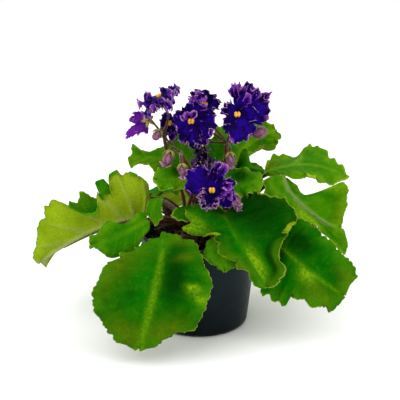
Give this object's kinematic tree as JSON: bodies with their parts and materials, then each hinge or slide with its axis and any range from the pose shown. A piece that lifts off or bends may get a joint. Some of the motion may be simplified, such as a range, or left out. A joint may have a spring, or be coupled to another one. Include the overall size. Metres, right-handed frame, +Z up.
{
  "type": "potted african violet",
  "caption": "Potted African violet: a rosette of broad ruffled leaves with frilled purple blooms on short stalks, in a plain round nursery pot.",
  "frame": {"origin": "centre of the pot's flat base, on the surface that it stands on", "axes": "+Z up, -Y to the front of the plant as pictured, +X to its right"},
  "size_m": [0.288, 0.2297, 0.224],
  "materials": {
    "pot": "satin dark slate",
    "soil": "damp crumbly peat",
    "crown": "corky, brownish green",
    "leaf": "softly hairy, satin green",
    "petal": "velvety violet, paler at the frill",
    "anther": "golden yellow",
    "bud": "downy mauve",
    "stalk": "hairy reddish brown"
  },
  "bodies": {
    "root": {"pot": "pot", "soil": "soil", "crown": "crown", "leaf_front_left": "leaf", "leaf_left": "leaf", "leaf_left_front": "leaf", "leaf_front_right": "leaf", "leaf_right_front": "leaf", "leaf_front_low": "leaf", "leaf_right_back": "leaf", "leaf_right": "leaf", "leaf_back_right": "leaf", "leaf_back_left": "leaf", "leaf_back": "leaf", "leaf_back_low_left": "leaf", "leaf_back_low_right": "leaf", "leaf_inner_left": "leaf", "leaf_inner_right": "leaf", "leaf_inner_front_right": "leaf", "leaf_inner_back_left": "leaf", "leaf_inner_back": "leaf", "leaf_young_front": "leaf", "leaf_young_left": "leaf", "bloom_left_top": "petal", "anthers_left_top": "anther", "bloom_left_side": "petal", "anthers_left_side": "anther", "bloom_left_back": "petal", "anthers_left_back": "anther", "bloom_centre": "petal", "anthers_centre": "anther", "bloom_centre_back": "petal", "anthers_centre_back": "anther", "bloom_right": "petal", "anthers_right": "anther", "bloom_front_low": "petal", "anthers_front_low": "anther", "bloom_spent": "petal", "bud_left_low": "bud", "bud_arch": "bud", "bud_arch_low": "bud", "bud_right_high": "bud", "bud_right_low": "bud", "bud_front": "bud", "spray_left": "stalk", "spray_arch": "stalk", "spray_right": "stalk", "spray_front": "stalk"}
  },
  "joints": []
}
